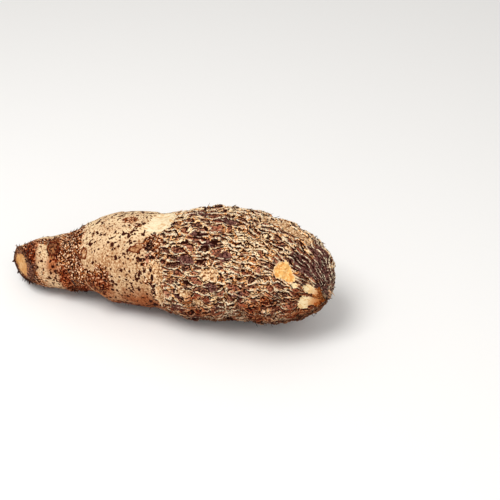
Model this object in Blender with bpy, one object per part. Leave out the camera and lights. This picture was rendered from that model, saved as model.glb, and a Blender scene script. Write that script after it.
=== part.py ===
# A malanga tuber, whole but for its cut root end, lying on its side.
# X runs along the tuber from the root end to the bud end, -Y is its front and Z is up.
# It grew as one piece, so it is one closed surface: a bent, swelling body with leaf-scar rings that
# overlap like shingles, a raised net of corky ridges, buds, sunk scars and a flat resting spot.
# Sizes are in metres and angles in degrees. A distance is measured along the middle line from the
# root end. An angle round the body starts at its front: 90 is on top, 180 behind, 270 underneath.

import math

import bmesh
import bpy
import numpy as np
from mathutils import Vector, noise

OBJECT_NAME = "malanga"

# The body: distance, radius
LENGTH = 0.2270
GIRTH = (
    (0.000, 0.0070),
    (0.010, 0.0094),
    (0.024, 0.0139),
    (0.038, 0.0170),
    (0.057, 0.0208),
    (0.071, 0.0278),
    (0.084, 0.0306),
    (0.114, 0.0321),
    (0.133, 0.0343),
    (0.153, 0.0360),
    (0.174, 0.0348),
    (0.194, 0.0326),
    (0.227, 0.0290),
)
FLATTENING = 0.97  # height of a section against its width
TIP_ROUNDING = 0.0385  # the last stretch, which closes to the bud
TIP_POINT = 0.58  # 0.5 closes it as half an ellipse, and more makes it pointed
BUD_TIP = 0.006  # the relief dies out in the last of it

# The middle line: distance, heading towards the back, heading upwards
HEADINGS = (
    (0.000, 0.0, -4.0),
    (0.020, 5.0, 8.0),
    (0.038, 6.0, 13.5),
    (0.057, 6.0, 13.5),
    (0.086, 1.0, 8.0),
    (0.136, 0.0, 5.2),
    (0.153, -1.0, 4.0),
    (0.181, -9.0, 2.0),
    (0.206, -20.0, -2.0),
    (0.227, -30.0, -6.0),
)
PATH_STEPS = 422  # steps in which the middle line is added up

# The slanted cut that took the tuber off its mother plant
CUT_DISTANCE = 0.0100
CUT_NORMAL = (-0.72, -0.66, 0.05)
CUT_RIM_WIDTH = 0.0012
CUT_SUNK = 0.0006

# Leaf-scar rings: distances
RINGS = (0.033, 0.047, 0.062, 0.084, 0.108, 0.122, 0.141, 0.160, 0.177, 0.192, 0.206, 0.217)
RING_TILT = 0.0022  # most that a slanted ring strays from its distance
SMOOTH_STEP = 0.0007  # how far a ring's free edge stands over the skin after it
BARK_STEP = 0.0016
EDGE_AT = 0.86  # the free edge, as a share of the way to the next ring
FRAY = 0.0012  # how unevenly a bark edge stands out
FRAY_SIZE = 0.006

# Where the smooth skin of the root half gives way to corky bark
BARK_START = 0.117
BARK_BLEND = 0.009
BARK_WANDER = 0.012  # how far its edge strays
BARK_WANDER_SIZE = 0.022
COLLAR = (0.054, 0.009)  # a rough band nearer the root end: middle and half width
COLLAR_SHARE = 0.6  # how barky it is

# The raised net of ridges in the bark
RIDGES_ROUND = 26
RIDGE_HEIGHT = 0.0013
RIDGE_HALF_WIDTH = 0.22  # as a share of the space between ridges
RIDGE_SWING = 0.36
RIDGE_STAGGER = 0.37  # shift from one stretch to the next
RIDGE_WANDER = 0.25
RIDGE_WANDER_SIZE = 0.012

# Lumps in the body, as (size, height)
LUMPS = ((0.055, 0.0028), (0.022, 0.0012))

# Buds: distance, angle, length along, width round, height
BUDS = (
    (0.0400, 76.0, 0.0120, 0.0155, 0.0022),
    (0.0750, 1.0, 0.0130, 0.0150, 0.0018),
    (0.1000, 51.0, 0.0090, 0.0100, 0.0011),
    (0.0900, 168.0, 0.0130, 0.0150, 0.0022),
    (0.1270, 214.0, 0.0120, 0.0150, 0.0022),
    (0.1460, 128.0, 0.0120, 0.0150, 0.0022),
    (0.1650, 300.0, 0.0120, 0.0140, 0.0020),
    (0.1820, 155.0, 0.0110, 0.0140, 0.0022),
    (0.1960, 232.0, 0.0110, 0.0140, 0.0020),
)

BUD_GROOVE = 0.35  # depth of the groove round a bud, as a share of its height

# Sunk scars where shoots and roots broke off: distance, angle, length along, width round, depth
SCARS = (
    (0.2045, 49.0, 0.0145, 0.0145, 0.0016),
    (0.1140, 95.0, 0.0170, 0.0230, 0.0014),
    (0.1170, 25.0, 0.0070, 0.0150, 0.0007),
    (0.1125, 54.0, 0.0060, 0.0060, 0.0016),
    (0.0660, 215.0, 0.0130, 0.0120, 0.0012),
    (0.1710, 190.0, 0.0160, 0.0140, 0.0015),
    (0.1480, 262.0, 0.0120, 0.0120, 0.0010),
)

# The flat spot that it rests on
REST_DEPTH = 0.0025

# The mesh
COLUMNS = 114
ROWS = (0.0, 0.27, 0.56, EDGE_AT)  # the rows of a stretch between two rings, as shares of it
ROWS_TIP = (0.0, 0.45, 0.85)
SHARP_ANGLE = 70.0

SEED = 11

# Colour of the corky skin
SKIN_COLOUR = (0.33, 0.17, 0.09, 1.0)
SKIN_ROUGHNESS = 0.85


def smooth(low, high, x):
    t = np.clip((x - low) / (high - low), 0.0, 1.0)
    return t * t * (3.0 - 2.0 * t)


def through(points, column, x):
    """A smooth curve through one column of a table whose first column is the distance."""
    xs = np.array([p[0] for p in points])
    ys = np.array([p[column] for p in points])
    slopes = np.gradient(ys, xs)
    i = np.clip(np.searchsorted(xs, x) - 1, 0, len(xs) - 2)
    width = xs[i + 1] - xs[i]
    t = np.clip((x - xs[i]) / width, 0.0, 1.0)
    start = (2 * t**3 - 3 * t**2 + 1) * ys[i] + (t**3 - 2 * t**2 + t) * width * slopes[i]
    end = (3 * t**2 - 2 * t**3) * ys[i + 1] + (t**3 - t**2) * width * slopes[i + 1]
    return start + end


def noise_at(points, size, seed=0.0):
    """Smooth noise between about -1 and 1, with lumps of the given size."""
    shift = Vector((seed * 7.3, seed * 3.1, seed * 5.7))
    return np.array([noise.noise(Vector(p) / size + shift) for p in points])


def middle_line():
    """Distances, points, sideways directions and upward directions along the middle line."""
    distance = np.linspace(0.0, LENGTH, PATH_STEPS + 1)
    side = np.radians(through(HEADINGS, 1, distance))
    rise = np.radians(through(HEADINGS, 2, distance))
    ahead = np.stack([np.cos(side) * np.cos(rise), np.sin(side) * np.cos(rise), np.sin(rise)], 1)
    step = LENGTH / PATH_STEPS
    points = np.vstack([np.zeros(3), np.cumsum((ahead[1:] + ahead[:-1]) / 2 * step, axis=0)])
    front = np.stack([np.sin(side), -np.cos(side), np.zeros_like(side)], 1)
    up = np.cross(front, ahead)
    return distance, points, front, up


LINE = middle_line()


def on_line(values, distance):
    return np.stack([np.interp(distance, LINE[0], values[:, axis]) for axis in range(3)], 1)


def body_radius(distance):
    closing = np.clip((distance - (LENGTH - TIP_ROUNDING)) / TIP_ROUNDING, 0.0, 1.0)
    return through(GIRTH, 1, distance) * (1.0 - closing**2) ** TIP_POINT


def body_point(distance, angle, raised=0.0):
    """Points on the plain body, raised by the relief."""
    radius = body_radius(distance) + raised
    front = on_line(LINE[2], distance) * (np.cos(angle) * radius)[:, None]
    up = on_line(LINE[3], distance) * (np.sin(angle) * radius * FLATTENING)[:, None]
    return on_line(LINE[1], distance) + front + up


def cut_edge(angle):
    """The distance at which each line along the skin meets the cut."""
    normal = np.array(CUT_NORMAL) / np.linalg.norm(CUT_NORMAL)
    centre = on_line(LINE[1], np.array([CUT_DISTANCE]))[0]
    low = np.full_like(angle, -CUT_DISTANCE)
    high = np.full_like(angle, 4 * CUT_DISTANCE)
    for _ in range(40):
        middle = (low + high) / 2
        outside = (body_point(middle, angle) - centre) @ normal > 0
        low = np.where(outside, middle, low)
        high = np.where(outside, high, middle)
    return (low + high) / 2


def ring_distance(stretch, share, angle):
    """Distance of a row: stretch counts the rings passed, share is the way to the next one."""
    tilts = np.random.default_rng(SEED).uniform((0.3, 0.0), (1.0, 2 * math.pi), (len(RINGS), 2))
    places = [cut_edge(angle)]
    for place, (amount, turn) in zip(RINGS, tilts):
        tilt = RING_TILT * amount * math.sin(math.pi * place / LENGTH)
        places.append(place + tilt * np.cos(angle - turn))
    places.append(np.full_like(angle, LENGTH))
    places = np.stack(places)
    column = np.arange(len(angle))
    start = places[stretch, column]
    return start + (places[stretch + 1, column] - start) * share


def bark_share(points, distance):
    """0 on smooth skin and 1 in corky bark."""
    wandered = distance + BARK_WANDER * noise_at(points, BARK_WANDER_SIZE, 1.0)
    bark = smooth(BARK_START - BARK_BLEND, BARK_START + BARK_BLEND, wandered)
    collar = 1.0 - smooth(0.5, 1.0, np.abs(wandered - COLLAR[0]) / COLLAR[1])
    return np.maximum(bark, COLLAR_SHARE * collar)


def ridge_net(stretch, share, angle, points):
    """Ridges that run along the body and swing to and fro, so that each meets its neighbours."""
    place = angle / (2 * math.pi) * RIDGES_ROUND + RIDGE_STAGGER * stretch
    place = place + RIDGE_WANDER * noise_at(points, RIDGE_WANDER_SIZE, 2.0)
    height = np.zeros_like(place)
    for offset in (-1, 0, 1, 2):
        ridge = np.floor(place) + offset
        swing = RIDGE_SWING * np.where(ridge % 2 == 0, 1.0, -1.0) * np.cos(2 * math.pi * share)
        away = np.abs(place - ridge - swing) / RIDGE_HALF_WIDTH
        height = np.maximum(height, 1.0 - smooth(0.2, 1.5, away))
    return height


def spot(distance, angle, place, turn, length, width):
    """How far each point is from a spot's middle, in spots: 1 is its edge."""
    radius = body_radius(np.array([place]))[0]
    around = (angle - math.radians(turn) + math.pi) % (2 * math.pi) - math.pi
    return np.hypot((distance - place) / (length / 2), around * radius / (width / 2))


def relief(stretch, share, distance, angle):
    """Height of the skin over the plain body."""
    points = body_point(distance, angle)
    bark = bark_share(points, distance)
    height = sum(high * noise_at(points, size, 3.0 + size) for size, high in LUMPS)

    rise = smooth(0.0, EDGE_AT, share) * (1.0 - smooth(EDGE_AT, 1.0, share))
    step = SMOOTH_STEP + (BARK_STEP - SMOOTH_STEP) * bark
    height += (step + FRAY * bark * noise_at(points, FRAY_SIZE, 4.0)) * rise

    spots = np.zeros_like(height)
    for place, turn, length, width, high in BUDS:
        away = spot(distance, angle, place, turn, length, width)
        height += high * (1.0 - smooth(0.25, 1.05, away) - BUD_GROOVE * np.exp(-(((away - 1.2) / 0.25) ** 2)))
        spots = np.maximum(spots, 1.0 - smooth(0.9, 1.4, away))
    for place, turn, length, width, deep in SCARS:
        away = spot(distance, angle, place, turn, length, width)
        height -= deep * (1.0 - smooth(0.55, 1.05, away))
        spots = np.maximum(spots, 1.0 - smooth(0.9, 1.2, away))

    height += RIDGE_HEIGHT * bark * (1.0 - spots) * ridge_net(stretch, share, angle, points)
    return height * (1.0 - smooth(LENGTH - BUD_TIP, LENGTH, distance))


def rows():
    """(stretch, share) of each row of the skin, from the cut's rim to the last row before the bud."""
    between = [(stretch, share) for stretch in range(len(RINGS)) for share in ROWS]
    return between + [(len(RINGS), share) for share in ROWS_TIP]


def skin_points(stretch, share, angle):
    distance = ring_distance(stretch, share, angle)
    return body_point(distance, angle, relief(stretch, share, distance, angle))


def make_skin(bm):
    """Turns a sphere's rows into the cut face, the skin and the bud."""
    listed = rows()
    face_rows = 2  # the cut face's own rows, its middle being the sphere's first pole
    steps = face_rows + len(listed)
    bmesh.ops.create_uvsphere(bm, u_segments=COLUMNS, v_segments=steps, radius=1.0)
    start = np.array([v.co for v in bm.verts])
    row = np.rint(np.arccos(np.clip(-start[:, 2], -1, 1)) / math.pi * steps).astype(int)
    angle = np.arctan2(start[:, 1], start[:, 0]) % (2 * math.pi)

    on_skin = (row >= face_rows) & (row < steps)
    stretch = np.array([listed[r - face_rows][0] for r in row[on_skin]])
    share = np.array([listed[r - face_rows][1] for r in row[on_skin]])
    places = np.zeros_like(start)
    places[on_skin] = skin_points(stretch, share, angle[on_skin])

    rim = row == face_rows
    centre = places[rim].mean(axis=0)
    sunk = -CUT_SUNK * np.array(CUT_NORMAL) / np.linalg.norm(CUT_NORMAL)
    inner = row == 1
    edge = skin_points(np.zeros(inner.sum(), int), np.zeros(inner.sum()), angle[inner])
    inward = centre - edge
    width = np.linalg.norm(inward, axis=1)[:, None]
    places[inner] = edge + inward * (CUT_RIM_WIDTH / width) + sunk
    places[row == 0] = centre + sunk
    places[row == steps] = on_line(LINE[1], np.array([LENGTH]))[0]

    places[:, 2] = np.maximum(places[:, 2], places[:, 2].min() + REST_DEPTH)
    low = places.min(axis=0)
    high = places.max(axis=0)
    places -= ((low[0] + high[0]) / 2, (low[1] + high[1]) / 2, low[2])
    for vert, place in zip(bm.verts, places):
        vert.co = place


def skin_material():
    material = bpy.data.materials.new("corky_skin")
    material.use_nodes = True
    shader = material.node_tree.nodes["Principled BSDF"]
    shader.inputs["Base Color"].default_value = SKIN_COLOUR
    shader.inputs["Roughness"].default_value = SKIN_ROUGHNESS
    shader.inputs["Metallic"].default_value = 0.0
    return material


def main():
    for left in list(bpy.data.objects):
        bpy.data.objects.remove(left, do_unlink=True)
    collection = bpy.data.collections.new(OBJECT_NAME)
    bpy.context.scene.collection.children.link(collection)

    bm = bmesh.new()
    make_skin(bm)
    bmesh.ops.reverse_faces(bm, faces=bm.faces)
    mesh = bpy.data.meshes.new(OBJECT_NAME)
    bm.to_mesh(mesh)
    bm.free()
    mesh.shade_smooth()
    mesh.set_sharp_from_angle(angle=math.radians(SHARP_ANGLE))
    tuber = bpy.data.objects.new(OBJECT_NAME, mesh)
    collection.objects.link(tuber)
    tuber.data.materials.append(skin_material())


main()
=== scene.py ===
# The looks of a malanga tuber that lies on its side: dark corky bark over its bud half, brushed
# tan skin over its root half, leaf-scar rings, buds, peeled patches and a slanted cut.
# Lengths are in metres unless a name says Mm. A distance is measured along the tuber's middle line
# from its root end. An angle round it starts at its front: 90 is on top, 180 behind, 270 underneath.

import math

import bpy
import numpy as np
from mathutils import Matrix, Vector, noise


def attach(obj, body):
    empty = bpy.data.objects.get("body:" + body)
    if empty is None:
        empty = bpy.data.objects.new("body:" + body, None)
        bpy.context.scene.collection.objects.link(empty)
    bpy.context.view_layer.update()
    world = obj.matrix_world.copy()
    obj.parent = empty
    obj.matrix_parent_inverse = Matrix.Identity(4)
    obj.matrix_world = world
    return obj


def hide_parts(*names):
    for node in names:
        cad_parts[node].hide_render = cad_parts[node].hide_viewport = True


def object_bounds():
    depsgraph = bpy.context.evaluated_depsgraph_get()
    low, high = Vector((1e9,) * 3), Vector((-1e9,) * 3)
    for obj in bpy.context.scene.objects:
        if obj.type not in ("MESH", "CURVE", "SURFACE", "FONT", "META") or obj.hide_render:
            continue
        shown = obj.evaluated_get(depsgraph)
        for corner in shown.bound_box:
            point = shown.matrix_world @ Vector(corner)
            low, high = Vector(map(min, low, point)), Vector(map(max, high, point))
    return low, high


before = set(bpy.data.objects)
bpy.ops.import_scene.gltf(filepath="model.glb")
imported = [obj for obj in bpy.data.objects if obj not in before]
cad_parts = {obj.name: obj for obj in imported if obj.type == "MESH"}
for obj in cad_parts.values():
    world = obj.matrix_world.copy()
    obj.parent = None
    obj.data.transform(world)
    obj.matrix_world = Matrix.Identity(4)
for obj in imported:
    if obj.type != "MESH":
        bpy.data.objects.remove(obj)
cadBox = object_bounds()
fullTurn = 2 * math.pi


# Small helpers

def linear(hexText):
    # sRGB hex to Blender's linear colour
    parts = [int(hexText[i:i + 2], 16) / 255 for i in (1, 3, 5)]
    return [c / 12.92 if c <= 0.04045 else ((c + 0.055) / 1.055) ** 2.4 for c in parts] + [1.0]


def add(tree, kind, inputs=None, output=0, stops=(), **settings):
    # one node with its settings and links; gives back one of its outputs
    node = tree.nodes.new(kind)
    for name, value in settings.items():
        setattr(node, name, value)
    for socket, value in (inputs or {}).items():
        if isinstance(value, bpy.types.NodeSocket):
            tree.links.new(value, node.inputs[socket])
        else:
            node.inputs[socket].default_value = value
    for number, (place, colour) in enumerate(stops):
        ramp = node.color_ramp.elements
        stop = ramp[0] if number == 0 else ramp[-1] if number == len(stops) - 1 else ramp.new(place)
        stop.position = place
        stop.color = linear(colour)
    return node.outputs[output] if node.outputs else node


def placed(name, data):
    # a new object in the scene
    thing = bpy.data.objects.new(name, data)
    bpy.context.scene.collection.objects.link(thing)
    return thing


def smooth(low, high, x):
    t = np.clip((x - low) / (high - low), 0.0, 1.0)
    return t * t * (3.0 - 2.0 * t)


def through(points, column, x):
    # a smooth curve through one column of a table whose first column is the distance
    xs = np.array([p[0] for p in points])
    ys = np.array([p[column] for p in points])
    slopes = np.gradient(ys, xs)
    i = np.clip(np.searchsorted(xs, x) - 1, 0, len(xs) - 2)
    width = xs[i + 1] - xs[i]
    t = np.clip((x - xs[i]) / width, 0.0, 1.0)
    start = (2 * t**3 - 3 * t**2 + 1) * ys[i] + (t**3 - 2 * t**2 + t) * width * slopes[i]
    end = (3 * t**2 - 2 * t**3) * ys[i + 1] + (t**3 - t**2) * width * slopes[i + 1]
    return start + end


def noiseAt(points, size, seed=0.0):
    # smooth noise between about -1 and 1, with lumps of the given size
    shift = Vector((seed * 7.3, seed * 3.1, seed * 5.7))
    return np.array([noise.noise(Vector(p) / size + shift) for p in points])


# The body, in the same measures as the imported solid

body = {
    "length": 0.2270,
    "girth": (  # distance, radius
        (0.000, 0.0070), (0.010, 0.0094), (0.024, 0.0139), (0.038, 0.0170), (0.057, 0.0208),
        (0.071, 0.0278), (0.084, 0.0306), (0.114, 0.0321), (0.133, 0.0343), (0.153, 0.0360),
        (0.174, 0.0348), (0.194, 0.0326), (0.227, 0.0290),
    ),
    "headings": (  # distance, heading towards the back, heading upwards
        (0.000, 0, -4), (0.020, 5, 8), (0.038, 6, 13.5), (0.057, 6, 13.5), (0.086, 1, 8),
        (0.136, 0, 5.2), (0.153, -1, 4), (0.181, -9, 2), (0.206, -20, -2), (0.227, -30, -6),
    ),
    "rootEnd": (-0.1137521, -0.0060936, 0.0152388),  # where the middle line starts in the frame
    "flattening": 0.97,
    "tipRounding": 0.0385,  # the last stretch, which closes to the bud
    "tipPoint": 0.58,
    "budTip": 0.006,  # the relief dies out in the last of it
    "lineSteps": 422,
    "lumps": ((0.055, 0.0028), (0.022, 0.0012)),  # size, height
}

cut = {
    "distance": 0.0092,
    "normal": (-0.66, -0.75, 0.12),
    "rimWidth": 0.0017,
    "sunk": 0.0006,
    "rimReach": 0.0058,  # dark torn bark can reach this far behind the cut
    "fleshShare": 0.86,  # the flesh shows out to this share of the cut's radius
    "fleshSharpness": 6,
    "folds": (  # directions in which bark lies over it, and how far from the middle that starts
        ((-0.15, 0.60, 0.79), 0.0068), ((0.97, 0.24, 0.00), 0.0040),
    ),
    "foldBlend": 0.0016,
    "flap": (0.0041, 0.4, 0.010, 0.056),  # height and turn of the bark that stands up behind it, and
    # the distances where it starts to sink and where it ends
    "flapSharpness": 1.5,
}

rings = {
    "places": (0.033, 0.047, 0.062, 0.084, 0.108, 0.122, 0.141, 0.160, 0.177, 0.192, 0.206, 0.217),
    "tilt": 0.0022,  # most that a slanted ring strays from its distance
    "smoothStep": 0.0007,  # how far a free edge stands over the skin after it
    "barkStep": 0.0016,
    "edgeAt": 0.93,  # the free edge, as a share of the way to the next ring
    "fray": 0.0012,  # how unevenly it stands out
    "fraySize": 0.006,
    "tear": 0.0011,  # how unevenly it runs round the body
    "tearSize": 0.0032,
    "tearRadius": 0.034,  # of the circle on which that is read
    "tearFrom": (0.09, 0.13),  # the distances between which it sets in
    "seed": 11,
}

bark = {
    "start": 0.117,
    "blend": 0.009,
    "wander": 0.012,
    "wanderSize": 0.022,
    "collar": (0.054, 0.009),  # a rough band nearer the root end: middle and half width
    "collarShare": 0.6,
    "swell": 0.0005,  # thickness of the cork over the smooth skin
}

# Buds: distance, angle, length along, width round, height
budsMm = (
    (40, 76, 12, 15.5, 2.2),
    (75, 1, 13, 15, 1.8),
    (100, 51, 9, 10, 1.1),
    (90, 168, 13, 15, 2.2),
    (127, 214, 12, 15, 2.2),
    (146, 128, 12, 15, 2.2),
    (165, 300, 12, 14, 2),
    (182, 155, 11, 14, 2.2),
    (196, 232, 11, 14, 2),
)
budShape = {  # in shares of a bud's height or half size
    "top": 0.25,
    "foot": 1.05,
    "groove": 0.35,  # depth of the groove round it
    "grooveAt": 1.2,
    "grooveWidth": 0.25,
}

# Sunk scars where shoots and roots broke off: distance, angle, length along, width round, depth
scarsMm = (
    (204.5, 49, 14.5, 14.5, 1.6),
    (114, 95, 17, 23, 1.4),
    (117, 25, 7, 15, 0.7),
    (112.5, 54, 6, 6, 1.6),
    (66, 215, 13, 12, 1.2),
    (171, 190, 16, 14, 1.5),
    (148, 262, 12, 12, 1),
    (186, 316, 95, 44, 2.6),  # the last two are flatter sides rather than scars
    (58, 318, 40, 32, 1.8),
)
scarShape = {"bottom": 0.55, "edge": 1.05}  # in shares of a scar's half size


def middleLine():
    # distances, points, sideways directions and upward directions along the middle line
    distance = np.linspace(0.0, body["length"], body["lineSteps"] + 1)
    side = np.radians(through(body["headings"], 1, distance))
    rise = np.radians(through(body["headings"], 2, distance))
    ahead = np.stack([np.cos(side) * np.cos(rise), np.sin(side) * np.cos(rise), np.sin(rise)], 1)
    step = body["length"] / body["lineSteps"]
    points = np.vstack([np.zeros(3), np.cumsum((ahead[1:] + ahead[:-1]) / 2 * step, axis=0)])
    front = np.stack([np.sin(side), -np.cos(side), np.zeros_like(side)], 1)
    return distance, points, front, np.cross(front, ahead)


line = middleLine()


def onLine(values, distance):
    return np.stack([np.interp(distance, line[0], values[:, axis]) for axis in range(3)], 1)


def bodyRadius(distance):
    closing = (distance - (body["length"] - body["tipRounding"])) / body["tipRounding"]
    return through(body["girth"], 1, distance) * (1 - np.clip(closing, 0, 1) ** 2) ** body["tipPoint"]


def bodyPoint(distance, angle, raised=0.0):
    radius = bodyRadius(distance) + raised
    front = onLine(line[2], distance) * (np.cos(angle) * radius)[:, None]
    up = onLine(line[3], distance) * (np.sin(angle) * radius * body["flattening"])[:, None]
    return onLine(line[1], distance) + front + up


def cutEdge(angle):
    # the distance at which each line along the skin meets the cut
    normal = np.array(cut["normal"]) / np.linalg.norm(cut["normal"])
    centre = onLine(line[1], np.array([cut["distance"]]))[0]
    low = np.full_like(angle, -cut["distance"])
    high = np.full_like(angle, 4 * cut["distance"])
    for _ in range(40):
        middle = (low + high) / 2
        outside = (bodyPoint(middle, angle) - centre) @ normal > 0
        low = np.where(outside, middle, low)
        high = np.where(outside, high, middle)
    return (low + high) / 2


def ringPlaces(angle):
    # distance of the cut, of each ring and of the bud tip, for each angle
    generator = np.random.default_rng(rings["seed"])
    tilts = generator.uniform((0.3, 0.0), (1.0, fullTurn), (len(rings["places"]), 2))
    places = [cutEdge(angle)]
    for number, (place, (amount, turn)) in enumerate(zip(rings["places"], tilts)):
        midway = math.sin(math.pi * place / body["length"])
        tilt = rings["tilt"] * amount * midway
        spot = np.stack([np.cos(angle), np.sin(angle), np.full_like(angle, number)], 1)
        torn = rings["tear"] * smooth(*rings["tearFrom"], place) * midway
        around = spot * rings["tearRadius"]
        places.append(place + tilt * np.cos(angle - turn) + torn * noiseAt(around, rings["tearSize"], 6.0))
    places.append(np.full_like(angle, body["length"]))
    return np.stack(places)


def barkShare(points, distance):
    # 0 on smooth skin and 1 in corky bark
    wandered = distance + bark["wander"] * noiseAt(points, bark["wanderSize"], 1.0)
    whole = smooth(bark["start"] - bark["blend"], bark["start"] + bark["blend"], wandered)
    band = 1.0 - smooth(0.5, 1.0, np.abs(wandered - bark["collar"][0]) / bark["collar"][1])
    return np.maximum(whole, bark["collarShare"] * band)


def away(distance, angle, spotMm):
    # how far each point is from a spot's middle, in spots: 1 is its edge
    place, length, width = [spotMm[i] / 1000 for i in (0, 2, 3)]
    radius = bodyRadius(np.array([place]))[0]
    around = (angle - math.radians(spotMm[1]) + math.pi) % fullTurn - math.pi
    return np.hypot((distance - place) / (length / 2), around * radius / (width / 2))


def relief(share, distance, angle, points, barky):
    # height of the skin over the plain body, without what the nodes raise
    height = sum(high * noiseAt(points, size, 3.0 + size) for size, high in body["lumps"])
    edgeAt = rings["edgeAt"]
    rise = smooth(0.0, edgeAt, share) * (1.0 - smooth(edgeAt, 1.0, share))
    step = rings["smoothStep"] + (rings["barkStep"] - rings["smoothStep"]) * barky
    height += (step + rings["fray"] * barky * noiseAt(points, rings["fraySize"], 4.0)) * rise
    for bud in budsMm:
        near = away(distance, angle, bud)
        groove = (near - budShape["grooveAt"]) / budShape["grooveWidth"]
        groove = budShape["groove"] * np.exp(-(groove**2))
        height += bud[4] / 1000 * (1.0 - smooth(budShape["top"], budShape["foot"], near) - groove)
    for scar in scarsMm:
        near = away(distance, angle, scar)
        height -= scar[4] / 1000 * (1.0 - smooth(scarShape["bottom"], scarShape["edge"], near))
    height += bark["swell"] * barky
    flap, turn, full, end = cut["flap"]
    upper = np.maximum(np.sin(angle - turn), 0.0) ** cut["flapSharpness"]
    height += flap * (1.0 - smooth(full, end, distance)) * upper
    return height * (1.0 - smooth(body["length"] - body["budTip"], body["length"], distance))


# Where the skin's colour changes: distance, angle, length along, width round
marksMm = {
    "rubble": (  # torn, crumbly bark
        (54.5, 90, 20, 300), (17, 60, 12, 30), (23, 330, 16, 30), (21, 15, 6, 12), (78, 12, 13, 19),
        (111, 33, 8, 3), (112.5, 58, 12, 11), (20, 180, 18, 40), (44, 70, 14, 20), (118, 48, 6, 20),
        (88, 250, 24, 20), (94.5, 91, 11, 7), (101, 82, 6, 4), (23.5, 46, 7, 23), (66, 16, 13, 9),
        (70, 2, 13, 9), (30, 96, 30, 6), (121.5, 6, 5, 11), (112, 12, 6, 4), (60, 340, 6, 6),
    ),
    "rust": (  # red-brown rather than grey-brown
        (75, 350, 28, 24), (90, 310, 70, 34), (56, 330, 16, 20), (20, 60, 18, 26), (144.4, 358, 18, 13),
        (189.6, 357, 24, 16), (48, 358, 12, 24), (106, 336, 40, 30), (40, 38, 11, 18),
        (220, 25, 13, 16), (102, 235, 50, 34), (165, 250, 40, 20), (145, 338, 40, 16),
        (190, 335, 40, 18), (200, 10, 16, 12), (219, 338, 22, 20),
    ),
    "plate": (  # large dark scales of cork
        (138.5, 40, 13, 7), (164.8, 48, 11, 7.5), (156.2, 17, 10, 6), (212, 74, 20, 12),
        (219, 95, 13, 18), (144, 68, 12, 6), (224, 120, 9, 30), (211, 108, 14, 8), (152, 58, 10, 5),
        (172, 170, 14, 8), (198, 190, 13, 8), (156, 215, 13, 7), (200, 315, 12, 8), (170, 335, 11, 6),
        (223.5, 150, 9, 24), (212, 130, 18, 10), (218, 112, 14, 9), (131, 344, 13, 9),
        (140, 320, 22, 10), (134, 4, 9, 6), (140, 96, 18, 7), (160, 86, 16, 6), (178, 12, 11, 6),
    ),
    "bare": (  # bark rubbed off, down to the inner skin
        (117.6, 24, 11, 16), (119.5, 358, 6, 16), (177, 205, 20, 11), (135, 165, 12, 9),
        (193, 110, 28, 10), (155, 29, 11, 8), (138, 6, 11, 5), (146, 354, 8, 6), (208, 265, 11, 10),
    ),
    "thin": (  # more of the pale cork between the plates
        (192.5, 112, 34, 15), (155, 28, 14, 13), (140, 352, 16, 12), (129, 64, 12, 12),
        (185, 72, 16, 10), (176, 60, 24, 24), (195, 20, 10, 14), (130, 100, 24, 14), (170, 240, 26, 20),
        (145, 190, 24, 16), (205, 170, 18, 20),
    ),
    "eye": ((41, 68, 10, 11.2), (75.5, 352, 9, 10)) + tuple(
        bud[:4] for bud in budsMm[3:5] + budsMm[6:]),
    "scar": (  # healed skin with a dark outline
        (103, 49, 7, 4.4), (105.8, 54, 7, 4.4), (66.4, 46, 6, 8), (83, 205, 8, 9),
    ),
    "hole": (  # nearly black
        (112.5, 54, 6, 6.2), (108.5, 38, 5.6, 2.6), (115, 41, 6, 2.2), (20.5, 20, 7, 11),
        (114.8, 28, 1.8, 4.6), (115.7, 19, 2, 4.2), (114.9, 11, 2, 3.6), (116.3, 3, 2.2, 6),
    ),
    "husk": (  # young orange-brown skin by the bud tip
        (224.8, 46, 3.6, 6.4), (226.2, 8, 3, 8),
    ),
    "amber": (  # the flesh where a shoot broke off
        (205, 50, 12, 10), (209.6, 46, 8, 6), (204.6, 56, 7, 7),
    ),
    "cream": (  # skin shaved off down to the flesh
        (115, 94, 17, 28), (108.5, 80, 6, 7),
    ),
    "straw": (  # young skin by the bud tip
        (221.4, 46, 7, 4.6), (222.6, 7, 8.6, 8), (214.2, 40, 3.4, 3.4),
    ),
}

markEdges = {  # how raggedly each kind of mark ends
    "rubble": 0.9, "rust": 0.8, "plate": 0.6, "bare": 1.0, "eye": 0.7, "scar": 0.5, "hole": 0.9,
    "amber": 0.5, "cream": 0.35, "straw": 0.9, "husk": 0.8,
}

skinMesh = {
    "columns": 390,
    "rows": (16, 11, 16, 17, 18, 18, 27, 27, 24, 22, 20, 17, 14),  # in each stretch between rings
    "tipCrowding": 1.9,  # the last rows crowd towards the bud tip
    "faceRows": (0.97, 0.84, 0.68, 0.50, 0.32, 0.15),  # rows of the cut face, as shares of its radius
    "lipReach": 0.0045,  # a ring's edge is marked this far before it
    "grainRadiusMm": 34.0,
    "seamColumn": 292,  # where the flat map of the skin starts: underneath
    "grainPinch": 0.5,  # 0 keeps the pattern's width where the body narrows, 1 draws it to a point
}

looseShares = {  # how thickly flakes and rootlets stand in each kind of place
    "flaky": {"rings": 1.0, "rim": 1.2, "bark": 0.06, "rubble": 0.7, "rootEnd": 0.6},
    "hairy": {"rings": 0.25, "rim": 0.4, "bark": 0.05, "barkBelow": 0.5, "below": 0.2, "rubble": 0.15},
    "cutFace": 0.8,  # flakes on the bark that lies over the cut
    "belowLess": 0.85,  # share of the flakes that is worn off underneath
    "budEndLess": 0.6,  # share of both that is missing at the bud end
    "budEnd": (0.200, 0.222),
    "rootEnd": (0.026, 0.012),
    "offFloor": (0.003, 0.006),  # the heights between which they set in
    "byEyes": -0.1,  # how near a bud's mark they stand: 0 is its edge
}

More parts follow.
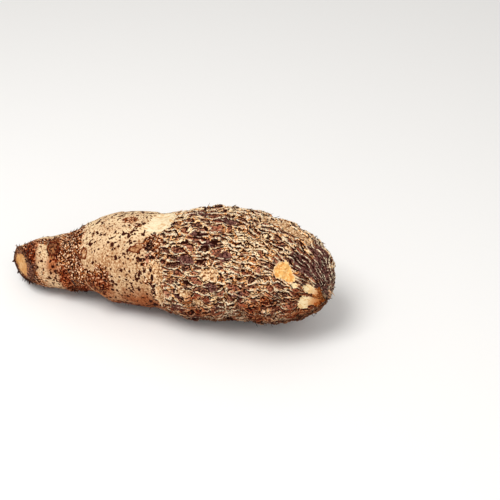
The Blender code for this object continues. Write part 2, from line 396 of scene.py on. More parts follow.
skinSides = {  # where each of these sets in, and where it is full
    # the first three by the height on the round skin, from -1 underneath to 1 on top
    "below": (0.2, -0.6),
    # painted shade: the underside's colour is darkened between these heights
    "paintedUnderShade": (-0.30, -0.85),
    # painted highlight: the top's colour is lightened between these heights
    "upward": (0.55, 1.0),
    # and this one by the marks without cork, where 0 is their edge
    "peeled": (-0.3, 0.05),
}


def skinRows():
    # (stretch, share) of each row, from the cut's rim to the last row before the bud tip
    listed = []
    for stretch, count in enumerate(skinMesh["rows"][:-1]):
        listed += [(stretch, rings["edgeAt"] * i / (count - 2)) for i in range(count - 1)]
        listed.append((stretch, (1 + rings["edgeAt"]) / 2))
    last = len(skinMesh["rows"]) - 1
    count = skinMesh["rows"][-1]
    return listed + [(last, 1 - (1 - i / count) ** skinMesh["tipCrowding"]) for i in range(count)]


def makeSkinBase():
    # the closed skin with all that its nodes and its material read
    listed = skinRows()
    columns = skinMesh["columns"]
    columnMm = fullTurn * skinMesh["grainRadiusMm"] / columns
    around = np.arange(columns) / columns * fullTurn
    places = ringPlaces(around)
    stretch = np.array([row[0] for row in listed])
    share = np.array([row[1] for row in listed])
    starts, ends = places[stretch], places[stretch + 1]
    distance = (starts + (ends - starts) * share[:, None]).ravel()
    before = ((ends - starts) * (1 - share)[:, None]).ravel()
    after = ((ends - starts) * share[:, None]).ravel()
    behindCut = np.where(np.repeat(stretch, columns) == 0, after, 1.0)
    angle = np.tile(around, len(listed))
    shareAll = np.repeat(share, columns)
    plain = bodyPoint(distance, angle)
    barky = barkShare(plain, distance)
    skin = bodyPoint(distance, angle, relief(shareAll, distance, angle, plain, barky))

    rim = skin[:columns]
    centre = rim.mean(axis=0)
    normal = np.array(cut["normal"]) / np.linalg.norm(cut["normal"])
    inward = centre - rim
    width = np.linalg.norm(inward, axis=1)[:, None]
    edge = rim + inward * (cut["rimWidth"] / width)
    face = [centre + (edge - centre) * reach / skinMesh["faceRows"][0] - normal * cut["sunk"]
            for reach in skinMesh["faceRows"]]
    face[0] = edge - normal * cut["sunk"]
    tip = onLine(line[1], np.array([body["length"]]))
    points = np.vstack([(centre - normal * cut["sunk"])[None], *face[::-1], skin, tip])
    points += body["rootEnd"]
    points[:, 2] = np.maximum(points[:, 2], 0.0)

    faceCount = len(face)
    rowCount = faceCount + len(listed)
    ring = np.arange(columns)
    following = (ring + 1) % columns
    quads = []
    for row in range(rowCount - 1):
        low, high = 1 + row * columns, 1 + (row + 1) * columns
        quads.append(np.stack([low + ring, high + ring, high + following, low + following], 1))
    quads = np.vstack(quads)
    top = 1 + (rowCount - 1) * columns
    fans = [(0, 1 + int(i), 1 + int(j)) for i, j in zip(ring, following)]
    caps = [(top + int(j), top + int(i), len(points) - 1) for i, j in zip(ring, following)]
    mesh = bpy.data.meshes.new("malangaSkin")
    mesh.from_pydata(points.tolist(), [], quads.tolist() + fans + caps)

    def padded(values, inside=0.0, atTip=0.0):
        return np.concatenate([np.broadcast_to(inside, 1 + faceCount * columns), values, [atTip]])

    covered = []
    for reach, ringPoints in zip(skinMesh["faceRows"][::-1], face[::-1]):
        past = [np.full(columns, (reach - cut["fleshShare"]) * cut["fleshSharpness"])]
        past += [((ringPoints - centre) @ np.array(way) - start) / cut["foldBlend"]
                 for way, start in cut["folds"]]
        covered.append(np.max(past, axis=0))
    covered = np.concatenate([[-1.0]] + covered)

    narrowed = np.minimum(1.0, bodyRadius(distance) * 1000 / skinMesh["grainRadiusMm"])
    wide = skinMesh["grainRadiusMm"] * narrowed ** skinMesh["grainPinch"]
    grain = np.stack([np.cos(angle) * wide, np.sin(angle) * wide, distance * 1000], 1)
    grain = np.vstack([np.zeros((1 + faceCount * columns, 3)), grain, [[0, 0, body["length"] * 1000]]])
    aheadOf = np.gradient(line[1], axis=0)
    along = onLine(aheadOf / np.linalg.norm(aheadOf, axis=1)[:, None], distance)
    along = np.vstack([np.tile((0.0, 0.0, 1.0), (1 + faceCount * columns, 1)), along, [[1.0, 0.0, 0.0]]])
    fields = {
        "bark": padded(barky, 0.0, 1.0),
        "rim": padded(np.clip(1 - behindCut / cut["rimReach"], 0, 1), np.clip(covered, -1, 1)),
        "distance": padded(distance, 0.0, body["length"]),
    }
    for name, spots in marksMm.items():
        inside = [1 - away(distance, angle, spot) for spot in spots]
        fields[name] = padded(np.clip(np.max(inside, axis=0), -1, 1), -1.0, -1.0)
    peeled = np.max([fields[name] for name in ("amber", "cream", "bare", "straw")], axis=0)
    peeled = smooth(*skinSides["peeled"], peeled)
    fields["cork"] = fields["bark"] * (1.0 - peeled)
    whole = (fields["eye"] < looseShares["byEyes"]) * (1.0 - peeled)
    whole *= smooth(*looseShares["offFloor"], points[:, 2])
    whole *= 1.0 - looseShares["budEndLess"] * smooth(*looseShares["budEnd"], fields["distance"])
    whole[: 1 + faceCount * columns] = 0.0
    scaly = padded(np.zeros(len(distance)), np.clip(covered, 0, 1) * looseShares["cutFace"])
    lip = padded(np.clip(1 - before / skinMesh["lipReach"], 0, 1))
    rim, barkHere = fields["rim"], fields["bark"]
    rubble = np.maximum(fields["rubble"], 0)
    height = np.sin(padded(angle))
    below = smooth(*skinSides["below"], height)
    # painted shade, darker towards the underside
    fields["paintedUnderShade"] = smooth(*skinSides["paintedUnderShade"], height)
    # painted highlight, paler towards the top
    fields["upward"] = smooth(*skinSides["upward"], height)
    flaky, hairy = looseShares["flaky"], looseShares["hairy"]
    fields["flaky"] = scaly + whole * (
        flaky["rings"] * lip**2 * barkHere * (1.0 - looseShares["belowLess"] * below)
        + flaky["rim"] * rim**2 + flaky["bark"] * barkHere + flaky["rubble"] * rubble
        + flaky["rootEnd"] * smooth(*looseShares["rootEnd"], fields["distance"]))
    fields["hairy"] = whole * (
        hairy["rings"] * lip * barkHere + hairy["rim"] * rim**2
        + barkHere * (hairy["bark"] + hairy["barkBelow"] * below) + hairy["below"] * below
        + hairy["rubble"] * rubble)
    for name, values in fields.items():
        mesh.attributes.new(name, "FLOAT", "POINT").data.foreach_set("value", values)
    across = (np.arange(len(points)) - 1 - skinMesh["seamColumn"]) % columns * columnMm
    flat = np.stack([across, grain[:, 2], np.zeros(len(points))], 1)
    quadMap = flat[quads, :2]
    quadMap[:, (3, 2), 0] = quadMap[:, (0, 1), 0] + columnMm
    caps = np.array(caps)
    capMap = flat[caps, :2]
    capMap[:, 0, 0] = capMap[:, 1, 0] + columnMm
    capMap[:, 2, 0] = capMap[:, 1, 0] + columnMm / 2
    cornerMap = np.concatenate([quadMap.ravel(), np.zeros(len(fans) * 6), capMap.ravel()])
    mesh.uv_layers.new(name="flatMap").data.foreach_set("uv", cornerMap)
    for name, values in (("grain", grain), ("along", along), ("flat", flat)):
        mesh.attributes.new(name, "FLOAT_VECTOR", "POINT").data.foreach_set("vector", values.ravel())
    number = np.arange(len(mesh.polygons)) // columns
    flesh = (number < faceCount - 1) | (number == rowCount - 1)
    mesh.polygons.foreach_set("material_index", flesh.astype(np.int32))
    mesh.shade_smooth()
    mesh.validate()
    return placed("malangaSkin", mesh)


# The cork's pattern, shared by the nodes that raise it and the material that colours it

pattern = {
    "plateMm": (4.1, 9.2, 1.0),  # round the body and along it
    "chipMm": (1.5, 3.4, 1.0),
    "threadMm": (1.4, 1.4, 5.0),  # across twice, and along the grain
    "bendsMm": (((4.8, 5.8, 0.0), (4.4, 4.4, 6.8)), ((11.0, 16.0, 0.0), (17.0, 17.0, 21.0))),  # how far
    # the grain strays, round and along, and how soon it turns
    "gapAndShadowMm": 0.8,  # how far below a torn edge its groove and its painted shadow run
    "fleckMm": 2.25,  # from one dark fleck of the smooth skin to the next
    # broad blotches down to fine scurf. The real scurf is a few tenths of a millimetre, finer than a
    # pixel of the render, and is drawn as coarse as it needs to show
    "speckleMm": (11.0, 4.4, 2.3, 1.15),
    "speckleDetail": (2.5, 2.5, 2.0, 0.6),
    "scurfMm": 2.381,  # from one raised crumb of it to the next
}


def corkPattern(tree, flat, grain):
    # Fields that run along the grain: distance from the plates' borders; the same without borders that
    # run across the grain, the same a little lower for the groove and painted shadow under each edge,
    # and a tone for each plate; the last three again for the small chips between the plates; and fine
    # threads
    bent = flat
    for reach, size in pattern["bendsMm"]:
        wander = add(tree, "ShaderNodeVectorMath", {0: grain, 1: size}, operation="DIVIDE")
        wander = add(tree, "ShaderNodeTexNoise", {"Vector": wander, "Scale": 1.0, "Detail": 2.0}, output=1)
        wander = add(tree, "ShaderNodeVectorMath", {0: wander, 1: (0.5, 0.5, 0.5)}, operation="SUBTRACT")
        bent = add(tree, "ShaderNodeVectorMath", {0: wander, 1: reach, 2: bent}, operation="MULTIPLY_ADD")
    # the groove and the painted shadow lie this far below each torn edge
    lower = add(tree, "ShaderNodeVectorMath", {0: bent, 1: (pattern["gapAndShadowMm"], 0.0, 0.0)}, operation="ADD")
    fields = []
    for size in ("plateMm", "chipMm"):
        here, below = [add(tree, "ShaderNodeVectorMath", {0: way, 1: pattern[size]}, operation="DIVIDE")
                       for way in (bent, lower)]
        edge, gapAndShadow, tone = [
            add(tree, "ShaderNodeTexVoronoi", {"Vector": way, "Scale": 1.0}, output=output,
                feature=feature, voronoi_dimensions="2D")
            for way, feature, output in ((here, "DISTANCE_TO_EDGE", 0), (below, "DISTANCE_TO_EDGE", 0),
                                         (here, "F1", 1))]
        # an edge that runs across the grain is near both, and is left out of both
        across = [add(tree, "ShaderNodeMapRange", {0: other, 1: 0.13, 2: 0.06, 3: 0.0, 4: 0.6})
                  for other in (gapAndShadow, edge)]
        fields += [edge] if size == "plateMm" else []
        fields += [add(tree, "ShaderNodeMath", {0: way, 1: plus}, operation="ADD")
                   for way, plus in zip((edge, gapAndShadow), across)] + [tone]
    threads = add(tree, "ShaderNodeVectorMath", {0: grain, 1: pattern["threadMm"]}, operation="DIVIDE")
    return fields + [add(tree, "ShaderNodeTexNoise", {"Vector": threads, "Scale": 1.0, "Detail": 2.0,
                                                      "Roughness": 0.5})]


def field(tree, name, kind="FLOAT"):
    # reads one of the skin's own values, in a geometry tree or in a material
    if tree.bl_idname == "GeometryNodeTree":
        return add(tree, "GeometryNodeInputNamedAttribute", {0: name}, data_type=kind)
    return add(tree, "ShaderNodeAttribute", output=2 if kind == "FLOAT" else 1, attribute_name=name)


def newTree(name, inputs):
    # a geometry tree with an input for each of the named values
    kinds = {float: "NodeSocketFloat", int: "NodeSocketInt", tuple: "NodeSocketVector",
             bpy.types.Material: "NodeSocketMaterial"}
    tree = bpy.data.node_groups.new(name, "GeometryNodeTree")
    tree.interface.new_socket("Geometry", in_out="INPUT", socket_type="NodeSocketGeometry")
    for label, value in inputs.items():
        tree.interface.new_socket(label, in_out="INPUT", socket_type=kinds[type(value)])
    tree.interface.new_socket("Geometry", in_out="OUTPUT", socket_type="NodeSocketGeometry")
    given = tree.nodes.new("NodeGroupInput")
    return tree, {socket.name: socket for socket in given.outputs}


def runTree(piece, tree, inputs):
    # runs the tree on a piece and turns the result into a plain mesh
    modifier = piece.modifiers.new(tree.name, "NODES")
    modifier.node_group = tree
    for item in tree.interface.items_tree:
        if item.in_out == "INPUT" and item.name in inputs:
            modifier[item.identifier] = inputs[item.name]
    graph = bpy.context.evaluated_depsgraph_get()
    mesh = bpy.data.meshes.new_from_object(
        piece.evaluated_get(graph), preserve_all_data_layers=True, depsgraph=graph)
    piece.modifiers.remove(modifier)
    plain, piece.data = piece.data, mesh
    bpy.data.meshes.remove(plain)
    mesh.name = piece.name


skinRelief = {
    "Edge Height": 0.0007,
    "Gap Depth": 0.0005,
    "Plate Height": 0.0006,
    "Chip Height": 0.0003,
    "Scurf Height": 0.0003,
}


def raiseSkin(tuber):
    tree, given = newTree("malangaRelief", skinRelief)
    grain = field(tree, "grain", "FLOAT_VECTOR")
    _, edge, gapAndShadow, tone, _, _, chipTone, _ = corkPattern(tree, field(tree, "flat", "FLOAT_VECTOR"), grain)
    total = 0.0
    for shape, start, end, height in (
            (edge, 0.20, 0.04, "Edge Height"), (gapAndShadow, 0.05, 0.18, "Gap Depth"),
            (tone, 0.2, 0.8, "Plate Height"), (chipTone, 0.2, 0.8, "Chip Height")):
        shape = add(tree, "ShaderNodeMapRange", {0: shape, 1: start, 2: end},
                    interpolation_type="SMOOTHSTEP")
        total = add(tree, "ShaderNodeMath", {0: shape, 1: given[height], 2: total},
                    operation="MULTIPLY_ADD")
    total = add(tree, "ShaderNodeMath", {0: total, 1: field(tree, "cork")}, operation="MULTIPLY")
    place = add(tree, "GeometryNodeInputPosition")
    scurf = add(tree, "ShaderNodeTexNoise", {"Vector": place, "Scale": 1000 / pattern["scurfMm"],
                                             "Detail": 3.0})
    scurf = add(tree, "ShaderNodeMath", {0: scurf, 1: 0.5}, operation="SUBTRACT")
    total = add(tree, "ShaderNodeMath", {0: scurf, 1: given["Scurf Height"], 2: total},
                operation="MULTIPLY_ADD")
    normal = add(tree, "GeometryNodeInputNormal")
    offset = add(tree, "ShaderNodeVectorMath", {0: normal, "Scale": total}, operation="SCALE")
    raised = add(tree, "GeometryNodeSetPosition", {"Geometry": given["Geometry"], "Offset": offset})
    onFloor = add(tree, "ShaderNodeVectorMath", {0: place, 1: (-1.0, -1.0, 0.0)}, operation="MAXIMUM")
    raised = add(tree, "GeometryNodeSetPosition", {"Geometry": raised, "Position": onFloor})
    add(tree, "NodeGroupOutput", {0: raised})
    runTree(tuber, tree, skinRelief)


def newMaterial(name):
    material = bpy.data.materials.new(name)
    material.use_nodes = True
    material.node_tree.nodes.clear()
    return material, material.node_tree


def finished(material, surface):
    # the material with its surface joined to its output
    tree = material.node_tree
    add(tree, "ShaderNodeOutputMaterial", {0: add(tree, "ShaderNodeBsdfPrincipled", surface)})
    return material


def laid(tree, colour, layers):
    # lays colours over a first one: each layer is (field, where it starts to show, where it is full,
    # colour), and a start past the full value shows the layer at the low values
    for value, start, full, over in layers:
        amount = add(tree, "ShaderNodeMapRange", {0: value, 1: start, 2: full},
                     interpolation_type="SMOOTHSTEP")
        over = linear(over) if isinstance(over, str) else over
        colour = add(tree, "ShaderNodeMix", {0: amount, 6: colour, 7: over}, output=2, data_type="RGBA")
    return colour


def roughened(tree, value, wobbles):
    # a value plus a share of each noise, which makes the edges that it draws ragged
    for wobble, share in wobbles:
        value = add(tree, "ShaderNodeMath", {0: wobble, 1: share, 2: value}, operation="MULTIPLY_ADD")
    return value


def paintedUnderShade(tree, colour):
    # painted shade: darker and browner on the underside, where the shade falls
    return add(tree, "ShaderNodeMix", {0: field(tree, "paintedUnderShade"), 6: colour, 7: linear("#9a7868")}, output=2,
               data_type="RGBA", blend_type="MULTIPLY")


def skinMaterial():
    # Corky periderm of a corm: dead, matt cork in torn dark plates between pale raised edges, and
    # on the root half the brushed, scurfy inner skin with dark flecks
    material, tree = newMaterial("corkyPeriderm")
    place = add(tree, "ShaderNodeTexCoord", output=3)
    place = add(tree, "ShaderNodeVectorMath", {0: place, "Scale": 1000.0}, operation="SCALE")
    grain = field(tree, "grain", "FLOAT_VECTOR")
    flat = add(tree, "ShaderNodeUVMap", uv_map="flatMap")
    border, edge, gapAndShadow, tone, chipEdge, chipGapShadow, chipTone, threads = corkPattern(tree, flat, grain)
    broad, middling, small, fine = [
        add(tree, "ShaderNodeTexNoise", {"Vector": place, "Scale": 1 / size, "Detail": detail,
                                         "Roughness": 0.6})
        for size, detail in zip(pattern["speckleMm"], pattern["speckleDetail"])]

    # broad blotches, plus a painted highlight that makes the top of the smooth skin paler
    blotchesAndTopLight = add(tree, "ShaderNodeMath", {0: field(tree, "upward"), 1: 0.25, 2: broad},
                operation="MULTIPLY_ADD")
    smoothSkin = add(tree, "ShaderNodeValToRGB", {0: blotchesAndTopLight},
                     stops=((0.30, "#b4845a"), (0.50, "#cca57c"), (0.66, "#dcba92"), (0.80, "#f0d4a8")))
    cells = add(tree, "ShaderNodeVectorMath", {0: place, "Scale": 1 / pattern["fleckMm"]},
                operation="SCALE")
    flecked, chance = [add(tree, "ShaderNodeTexVoronoi", {"Vector": cells, "Scale": 1.0}, output=output)
                       for output in (0, 1)]
    flecked = roughened(tree, flecked, ((fine, 0.9), (chance, -0.8), (middling, -1.6), (broad, -0.8)))
    smoothSkin = laid(tree, smoothSkin, [
        (middling, 0.58, 0.70, "#b07c54"), (small, 0.40, 0.32, "#dcb48a"), (fine, 0.44, 0.36, "#a06c44"),
        (fine, 0.59, 0.66, "#e8c49a"), (flecked, -0.80, -0.92, "#96603a"),
        (flecked, -0.90, -0.95, "#3a1408")])

    plates = add(tree, "ShaderNodeValToRGB", {0: tone},
                 stops=((0.25, "#2e100c"), (0.38, "#4a221a"), (0.50, "#5e2a1e"), (0.60, "#743622"),
                        (0.70, "#924a34"), (0.84, "#c48264")))
    plates = laid(tree, plates, [(fine, 0.57, 0.64, "#b27656"), (fine, 0.45, 0.37, "#260a05"),
                                 (threads, 0.42, 0.35, "#2c0f08"), (chipEdge, 0.07, 0.03, "#c08a66")])
    between = add(tree, "ShaderNodeValToRGB", {0: chipTone},
                  stops=((0.25, "#d08244"), (0.45, "#f4b070"), (0.60, "#ffcc90"), (0.80, "#ffe0b0")))
    # painted shadow: the near-black line just below each chip's edge
    between = laid(tree, between, [(fine, 0.45, 0.37, "#8e4418"), (fine, 0.58, 0.64, "#ffe6c2"),
                                   (chipGapShadow, 0.20, 0.12, "#340d02")])
    scale = laid(tree, linear("#684038"), [
        (fine, 0.46, 0.38, "#34160f"), (small, 0.52, 0.62, "#8c5e50"), (threads, 0.42, 0.35, "#260c08")])
    # each mark's value is 0 along its ragged edge; the noises centre on 0.5, so these shares add up to 0
    ragged = roughened(tree, -1.25, ((middling, 1.0), (small, 1.0), (fine, 0.5)))
    masks = {name: add(tree, "ShaderNodeMath", {0: ragged, 1: wildness, 2: field(tree, name)},
                       operation="MULTIPLY_ADD") for name, wildness in markEdges.items()}
    thinned = add(tree, "ShaderNodeMapRange", {0: field(tree, "thin"), 1: -0.6, 2: 0.4})
    spread = roughened(tree, border, ((middling, 1.0), (fine, 0.3), (thinned, -0.35)))
    plated = add(tree, "ShaderNodeMapRange", {0: masks["plate"], 1: 0.0, 2: 0.3, 4: 0.035})
    torn = roughened(tree, edge, ((threads, 0.35), (middling, 0.25), (fine, 0.5), (plated, 1.0)))
    # painted shadow: the near-black line laid just under each torn edge, where the groove is
    gapShadow = roughened(tree, gapAndShadow, ((small, 0.5), (fine, -0.35)))
    cork = laid(tree, plates, [
        (spread, 0.83, 0.77, between), (masks["plate"], 0.12, 0.22, scale),
        (gapShadow, 0.23, 0.17, "#260700"), (torn, 0.66, 0.61, "#ffe6c2"), (fine, 0.38, 0.33, "#2a0602")])

    rubble = add(tree, "ShaderNodeValToRGB", {0: small},
                 stops=((0.39, "#240500"), (0.44, "#74300f"), (0.53, "#9c5628"), (0.61, "#c88450"),
                        (0.68, "#f0c094")))
    rubble = laid(tree, rubble, [(middling, 0.50, 0.58, "#84401c"), (fine, 0.47, 0.42, "#1c0300"),
                                 (fine, 0.61, 0.65, "#fbd6ae")])

    barky = add(tree, "ShaderNodeMath", {0: middling, 1: 0.8, 2: field(tree, "bark")},
                operation="MULTIPLY_ADD")
    colour = laid(tree, smoothSkin, [(barky, 0.76, 0.84, cork), (masks["rubble"], -0.04, 0.02, rubble)])
    amount = add(tree, "ShaderNodeMapRange", {0: masks["rust"], 1: -0.2, 2: 0.6})
    colour = add(tree, "ShaderNodeMix", {0: amount, 6: colour, 7: linear("#cc967a")}, output=2,
                 data_type="RGBA", blend_type="MULTIPLY")
    eye = add(tree, "ShaderNodeValToRGB", {0: masks["eye"]},
              stops=((0.05, "#3e1206"), (0.20, "#703016"), (0.45, "#54200e"), (0.60, "#a87048"),
                     (0.68, "#4a1a0a"), (0.85, "#8a5232"), (1.0, "#381004")))
    eye = laid(tree, eye, [(fine, 0.47, 0.40, "#2e0c04"), (small, 0.54, 0.62, "#a4683e")])
    healed = laid(tree, linear("#c08a5e"), [(fine, 0.50, 0.42, "#93603c"), (small, 0.54, 0.62, "#e2bd96")])
    dark = laid(tree, linear("#260a04"), [(small, 0.55, 0.62, "#6b3420"), (fine, 0.62, 0.68, "#c08a66")])
    amber = laid(tree, linear("#efb76c"), [
        (middling, 0.50, 0.60, "#e09e56"), (small, 0.46, 0.36, "#d4924c"), (fine, 0.57, 0.63, "#f8ce8c")])
    cream = laid(tree, linear("#f6e2bc"), [
        (small, 0.46, 0.36, "#e8cca2"), (threads, 0.42, 0.36, "#deb484")])
    straw = laid(tree, linear("#fbe2b2"), [
        (threads, 0.44, 0.36, "#e0b074"), (middling, 0.55, 0.63, "#f0c890"),
        (field(tree, "distance"), 0.2216, 0.2264, "#d4864a")])
    husk = laid(tree, linear("#ac5c28"), [
        (threads, 0.46, 0.38, "#6e2a0c"), (threads, 0.56, 0.64, "#e8a868")])
    bare = laid(tree, linear("#dcae7e"), [
        (small, 0.53, 0.62, "#eec89c"), (threads, 0.46, 0.38, "#b07a4c"), (middling, 0.44, 0.37, "#a86c40"),
        (fine, 0.44, 0.39, "#74401e"), (fine, 0.60, 0.66, "#f8dcb4")])
    rim = add(tree, "ShaderNodeMath", {0: small, 1: 1.2, 2: field(tree, "rim")}, operation="MULTIPLY_ADD")
    torn = add(tree, "ShaderNodeMapRange", {0: torn, 1: 0.72, 2: 0.58})
    colour = laid(tree, colour, [
        (masks["bare"], -0.04, 0.02, bare), (rim, 1.22, 1.32, "#3a160b"), (rim, 1.38, 1.46, "#7a4a30"),
        (masks["husk"], 0.00, 0.08, husk), (masks["straw"], -0.04, 0.02, straw),
        (masks["eye"], -0.04, 0.00, eye), (masks["scar"], -0.02, 0.02, "#6a2e12"),
        (masks["scar"], 0.26, 0.36, healed), (masks["hole"], -0.04, 0.00, dark),
        (masks["amber"], -0.03, 0.01, "#f2d2a4"), (masks["amber"], 0.04, 0.10, amber),
        (masks["cream"], -0.02, 0.06, cream)])
    height = add(tree, "ShaderNodeMath", {0: torn, 1: field(tree, "cork"), 2: fine},
                 operation="MULTIPLY_ADD")
    bump = add(tree, "ShaderNodeBump", {"Height": height, "Distance": 0.0008, "Strength": 0.8})
    # the skin's colour gets painted shade on its underside
    return finished(material, {"Base Color": paintedUnderShade(tree, colour), "Roughness": 0.85, "Normal": bump,
                               "Specular IOR Level": 0.06})


fleshPattern = {
    "blotchMm": 3.846,
    "grainMm": 1.1765,  # the real starch grain is too fine to show, and is drawn as coarse as it needs to
}


def cutMaterial():
    # Starchy flesh that has dried on the cut: matt, blotched orange-tan, with dark bark over its rim
    material, tree = newMaterial("driedCutFlesh")
    place = add(tree, "ShaderNodeTexCoord", output=3)
    broad = add(tree, "ShaderNodeTexNoise", {"Vector": place, "Scale": 1000 / fleshPattern["blotchMm"],
                                             "Detail": 3.0})
    fine = add(tree, "ShaderNodeTexNoise", {"Vector": place, "Scale": 1000 / fleshPattern["grainMm"],
                                            "Detail": 1.0})
    flesh = add(tree, "ShaderNodeValToRGB", {0: broad},
                stops=((0.35, "#c1813f"), (0.5, "#d59b60"), (0.65, "#e6b67c")))
    rim = roughened(tree, field(tree, "rim"), ((broad, 2.0), (fine, 2.0)))
    bark = laid(tree, linear("#54261a"), [(fine, 0.47, 0.42, "#240a05"), (fine, 0.56, 0.60, "#c08058")])
    flesh = laid(tree, flesh, [(fine, 0.42, 0.34, "#cb9050"), (rim, 1.90, 2.00, "#8a4f28"),
                               (rim, 2.00, 2.10, bark)])
    bump = add(tree, "ShaderNodeBump", {"Height": fine, "Distance": 0.0004})
    return finished(material, {"Base Color": flesh, "Roughness": 0.8, "Normal": bump,
                               "Specular IOR Level": 0.12})


looseForm = {  # what flakes and rootlets share
    "leanFrom": (-0.3, -1.0), "leanTo": (0.3, 0.05),  # radians sideways, and up from the skin
    "sizeFrom": (0.4, 0.5, 0.6), "sizeTo": (1.7, 1.5, 1.5),
    "reach": (0.004, 0.0018, 0.0018),  # how far past the solid's box they may stand
}
looseLow = (cadBox[0][0] - looseForm["reach"][0], cadBox[0][1] - looseForm["reach"][1], 0.0)
looseHigh = tuple(top + reach for top, reach in zip(cadBox[1], looseForm["reach"]))


def scatter(tree, given, share, shape, spin):
    # stands copies of a shape on the skin where one of its values says, along the grain, each with
    # a turn, a lean and a size of its own
    density = add(tree, "ShaderNodeMath", {0: field(tree, share), 1: given["Per Square Metre"]},
                  operation="MULTIPLY")
    points = add(tree, "GeometryNodeDistributePointsOnFaces", {"Mesh": given["Geometry"],
                                                               "Density": density, "Seed": given["Seed"]})
    upright = add(tree, "FunctionNodeAlignRotationToVector", {"Vector": points.node.outputs[1]}, axis="Z")
    upright = add(tree, "FunctionNodeAlignRotationToVector", {
        "Rotation": upright, "Vector": field(tree, "along", "FLOAT_VECTOR")}, axis="X", pivot_axis="Z")
    leans = {0: (*looseForm["leanFrom"], -spin), 1: (*looseForm["leanTo"], spin), "Seed": 1}
    lean = add(tree, "FunctionNodeRandomValue", leans, data_type="FLOAT_VECTOR")
    lean = add(tree, "ShaderNodeVectorMath", {0: lean, 1: given["Lean"]}, operation="MULTIPLY")
    turned = add(tree, "FunctionNodeRotateRotation", {0: upright, 1: add(
        tree, "FunctionNodeEulerToRotation", {0: lean})}, rotation_space="LOCAL")
    sizes = {0: looseForm["sizeFrom"], 1: looseForm["sizeTo"], "Seed": 2}
    size = add(tree, "FunctionNodeRandomValue", sizes, data_type="FLOAT_VECTOR")
    larger = add(tree, "ShaderNodeMath", {0: field(tree, "rim"), 1: given["Rim Growth"], 2: 1.0},
                 operation="MULTIPLY_ADD")
    size = add(tree, "ShaderNodeVectorMath", {0: size, "Scale": larger}, operation="SCALE")
    copies = add(tree, "GeometryNodeInstanceOnPoints", {"Points": points, "Instance": shape,
                                                        "Rotation": turned, "Scale": size})
    tone = add(tree, "FunctionNodeRandomValue", {2: 0.0, 3: 1.0, "Seed": 3}, output=1)
    copies = add(tree, "GeometryNodeStoreNamedAttribute", {0: copies, "Name": "tone", "Value": tone},
                 data_type="FLOAT", domain="INSTANCE")
    loose = add(tree, "GeometryNodeRealizeInstances", {0: copies})
    place = add(tree, "GeometryNodeInputPosition")
    for limit, side in ((looseLow, "MAXIMUM"), (looseHigh, "MINIMUM")):
        place = add(tree, "ShaderNodeVectorMath", {0: place, 1: limit}, operation=side)
    loose = add(tree, "GeometryNodeSetPosition", {"Geometry": loose, "Position": place})
    loose = add(tree, "GeometryNodeSetMaterial", {0: loose, "Material": given["Material"]})
    add(tree, "NodeGroupOutput", {0: loose})


barkFlakes = {
    "Per Square Metre": 120000.0,
    "Lean": (1.0, 0.5, 1.0),  # how far they lean sideways, stand up and turn
    "Length": 0.0026,
    "Width": 0.0011,
    "Thickness": 0.00018,
    "Curl": 0.35,
    "Rim Growth": 0.4,  # how much larger they are by the cut
    "Seed": 7,
}


def makeBarkFlakes(skin):
    inputs = barkFlakes | {"Material": flakeMaterial("tornCork", (
        (0.0, "#25100b"), (0.4, "#4a271c"), (0.65, "#7a4a34"), (0.85, "#b98660"), (1.0, "#f0c79c")))}
    tree, given = newTree("barkFlakes", inputs)
    ball = add(tree, "GeometryNodeMeshUVSphere", {"Segments": 7, "Rings": 4, "Radius": 0.5})
    place = add(tree, "GeometryNodeInputPosition")
    x, y, z = [add(tree, "ShaderNodeSeparateXYZ", {0: place}, output=axis) for axis in range(3)]
    # a flake's foot is sunk in the skin, and it narrows and curls up towards its free end
    length = add(tree, "ShaderNodeMath", {0: x, 1: 0.38}, operation="ADD")
    taper = add(tree, "ShaderNodeMath", {0: x, 1: -0.7, 2: 0.8}, operation="MULTIPLY_ADD")
    wide, curl = y, length
    for factor in (taper, given["Width"]):
        wide = add(tree, "ShaderNodeMath", {0: wide, 1: factor}, operation="MULTIPLY")
    for factor in (length, given["Curl"], given["Length"]):
        curl = add(tree, "ShaderNodeMath", {0: curl, 1: factor}, operation="MULTIPLY")
    high = add(tree, "ShaderNodeMath", {0: z, 1: given["Thickness"], 2: curl}, operation="MULTIPLY_ADD")
    length = add(tree, "ShaderNodeMath", {0: length, 1: given["Length"]}, operation="MULTIPLY")
    bent = add(tree, "ShaderNodeCombineXYZ", {0: length, 1: wide, 2: high})
    flake = add(tree, "GeometryNodeSetPosition", {"Geometry": ball, "Position": bent})
    scatter(tree, given, "flaky", flake, 0.5)
    makeLoose("barkFlakes", skin, tree, inputs)


rootFibres = {
    "Per Square Metre": 40000.0,
    "Lean": (1.0, 0.3, 1.0),
    "Length": 0.0026,
    "Thickness": 0.00011,
    "Rim Growth": 0.3,
    "Seed": 5,
}


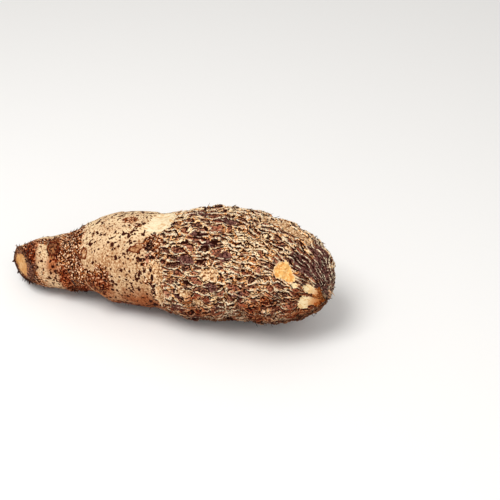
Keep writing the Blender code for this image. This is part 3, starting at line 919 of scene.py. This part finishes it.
def makeRootFibres(skin):
    inputs = rootFibres | {"Material": flakeMaterial("driedRootFibre", (
        (0.0, "#1f0f0b"), (0.5, "#4b2c20"), (0.8, "#8a5c40"), (1.0, "#d9ab80")))}
    tree, given = newTree("rootFibres", inputs)
    # a rootlet rises from under the skin, bends over and thins out; the two points are in its lengths
    middle, end = [add(tree, "ShaderNodeVectorMath", {0: way, "Scale": given["Length"]}, operation="SCALE")
                   for way in ((0.55, 0.0, 0.40), (1.0, 0.25, 0.18))]
    curve = add(tree, "GeometryNodeCurveQuadraticBezier", {"Resolution": 5, "Start": (0.0, 0.0, -0.0002),
                                                           "Middle": middle, "End": end})
    along = add(tree, "GeometryNodeSplineParameter")
    taper = add(tree, "ShaderNodeMath", {0: along, 1: -0.75, 2: 1.0}, operation="MULTIPLY_ADD")
    curve = add(tree, "GeometryNodeSetCurveRadius", {"Curve": curve, "Radius": taper})
    round3 = add(tree, "GeometryNodeCurvePrimitiveCircle", {"Resolution": 3, "Radius": given["Thickness"]})
    hair = add(tree, "GeometryNodeCurveToMesh", {"Curve": curve, "Profile Curve": round3,
                                                 "Fill Caps": True, "Scale": taper})
    scatter(tree, given, "hairy", hair, 3.14)
    makeLoose("rootFibres", skin, tree, inputs)


def flakeMaterial(name, tones):
    # Dead cork and dried rootlets: matt, one tone each, from purple-black to straw
    material, tree = newMaterial(name)
    colour = add(tree, "ShaderNodeValToRGB", {0: field(tree, "tone")}, stops=tones)
    # the flakes' and rootlets' colour gets painted shade on the underside
    return finished(material, {"Base Color": paintedUnderShade(tree, colour), "Roughness": 0.8,
                               "Specular IOR Level": 0.3})


def makeLoose(name, skin, tree, inputs):
    piece = placed(name, skin.data.copy())
    runTree(piece, tree, inputs)
    print(f"malanga: {name}, {sum(len(face.vertices) - 2 for face in piece.data.polygons)} triangles")
    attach(piece, "root")


print("malanga: skin")
tuber = makeSkinBase()
tuber.data.materials.append(skinMaterial())
tuber.data.materials.append(cutMaterial())
raiseSkin(tuber)
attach(tuber, "root")
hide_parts("malanga")
print("malanga: loose bark and rootlets")
makeBarkFlakes(tuber)
makeRootFibres(tuber)


# The stage: a plain pale floor, soft light and the photograph's viewing angle

stage = {
    "floorRadius": 3.0,
    "floorColour": "#f4f2ef",
    "worldStrength": 0.55,
    "azimuth": 13.6,
    "elevation": 38.0,
    "lens": 85.0,
    "distance": 0.779,
    "aimRight": 0.054,
    "aimUp": 0.0036,
    "lights": (  # name, azimuth, elevation, distance, size, power
        ("keyLight", -30, 66, 1.0, 0.5, 6.5), ("fillLight", 60, 35, 1.2, 0.8, 2),
    ),
}


def makeStage():
    bpy.ops.mesh.primitive_circle_add(vertices=96, radius=stage["floorRadius"], fill_type="NGON")
    floor = bpy.context.object
    floor.name = "paleFloor"
    floor.data.materials.append(finished(newMaterial("paleFloor")[0], {
        "Base Color": linear(stage["floorColour"]), "Roughness": 0.9, "Specular IOR Level": 0.1}))


def viewAxes(azimuth, elevation):
    a, e = math.radians(azimuth), math.radians(elevation)
    back = Vector((math.sin(a) * math.cos(e), -math.cos(a) * math.cos(e), math.sin(e)))
    right = Vector((math.cos(a), math.sin(a), 0.0))
    return back, right, back.cross(right)


def makeCamera():
    back, right, up = viewAxes(stage["azimuth"], stage["elevation"])
    middle = (Vector(cadBox[0]) + Vector(cadBox[1])) / 2
    aim = middle + right * stage["aimRight"] + up * stage["aimUp"]
    camera = placed("camera", bpy.data.cameras.new("camera"))
    camera.data.lens = stage["lens"]
    camera.location = aim + back * stage["distance"]
    camera.rotation_euler = back.to_track_quat("Z", "Y").to_euler()
    bpy.context.scene.camera = camera


def makeLight(name, azimuth, elevation, distance, size, power):
    back = viewAxes(azimuth, elevation)[0]
    light = placed(name, bpy.data.lights.new(name, "AREA"))
    light.data.size = size
    light.data.energy = power
    light.location = back * distance
    light.rotation_euler = back.to_track_quat("Z", "Y").to_euler()


print("malanga: stage")
makeStage()
makeCamera()
for light in stage["lights"]:
    makeLight(*light)
world = bpy.data.worlds.new("softRoom")
world.use_nodes = True
background = world.node_tree.nodes["Background"]
background.inputs["Color"].default_value = linear("#ffffff")
background.inputs["Strength"].default_value = stage["worldStrength"]
bpy.context.scene.world = world
bpy.context.scene.view_settings.view_transform = "Standard"
